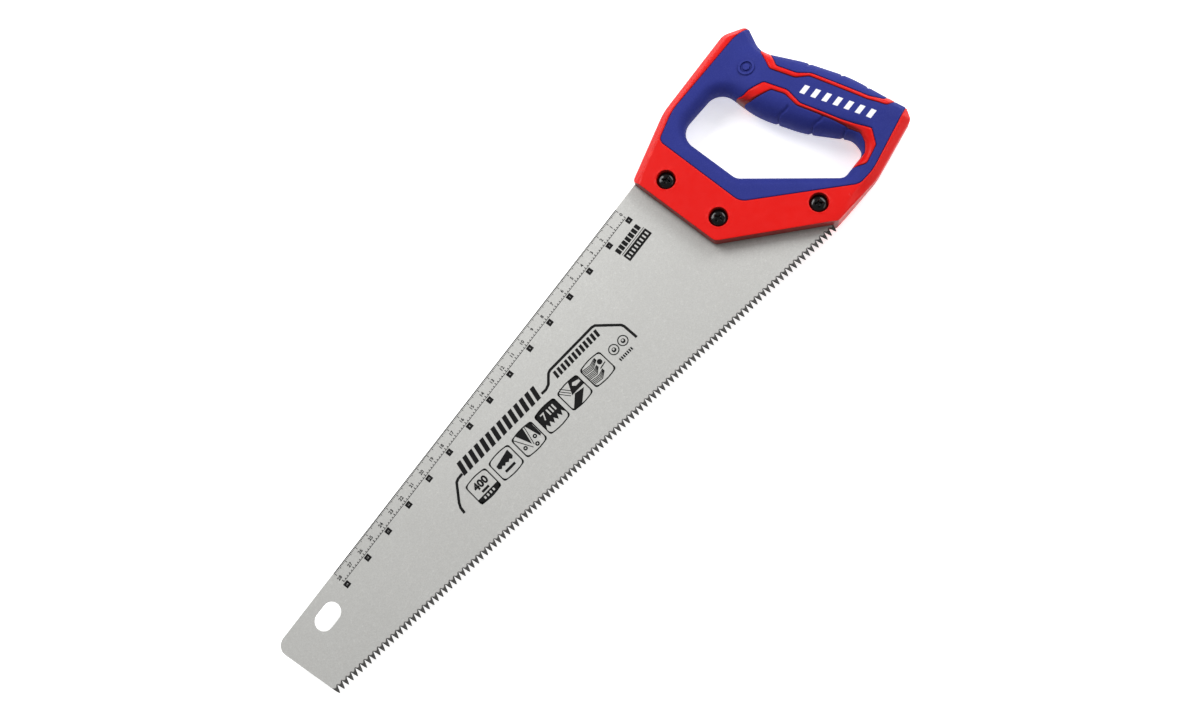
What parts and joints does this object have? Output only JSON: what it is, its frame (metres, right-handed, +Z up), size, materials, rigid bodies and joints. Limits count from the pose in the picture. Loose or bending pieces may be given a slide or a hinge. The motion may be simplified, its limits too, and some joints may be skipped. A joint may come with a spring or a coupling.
{
  "type": "hand saw",
  "caption": "Hand saw with a tapered toothed blade, a hanging slot at its toe, and a closed two-material handle screwed to the blade.",
  "frame": {"origin": "under the middle of the saw's box, in the plane that the lower side of the grip lies on", "axes": "the saw lies flat: +X runs along the teeth from the toe to the handle, +Y from the teeth to the spine, +Z up, out of the side with the screw heads"},
  "size_m": [0.5004, 0.1374, 0.029],
  "materials": {
    "blade_steel": "fine matte, hardened dark tooth points",
    "core_plastic": "satin moulded",
    "soft_grip": "soft matte moulded",
    "black_screws": "black oxide, glossy"
  },
  "bodies": {
    "root": {"blade": "blade_steel", "handle_core": "core_plastic", "grip_overmould": "soft_grip", "finger_pad": "soft_grip", "palm_pad": "soft_grip", "screw_upper": "black_screws", "screw_middle": "black_screws", "screw_lower": "black_screws", "sleeve_nut_upper": "black_screws", "sleeve_nut_middle": "black_screws", "sleeve_nut_lower": "black_screws"}
  },
  "joints": []
}
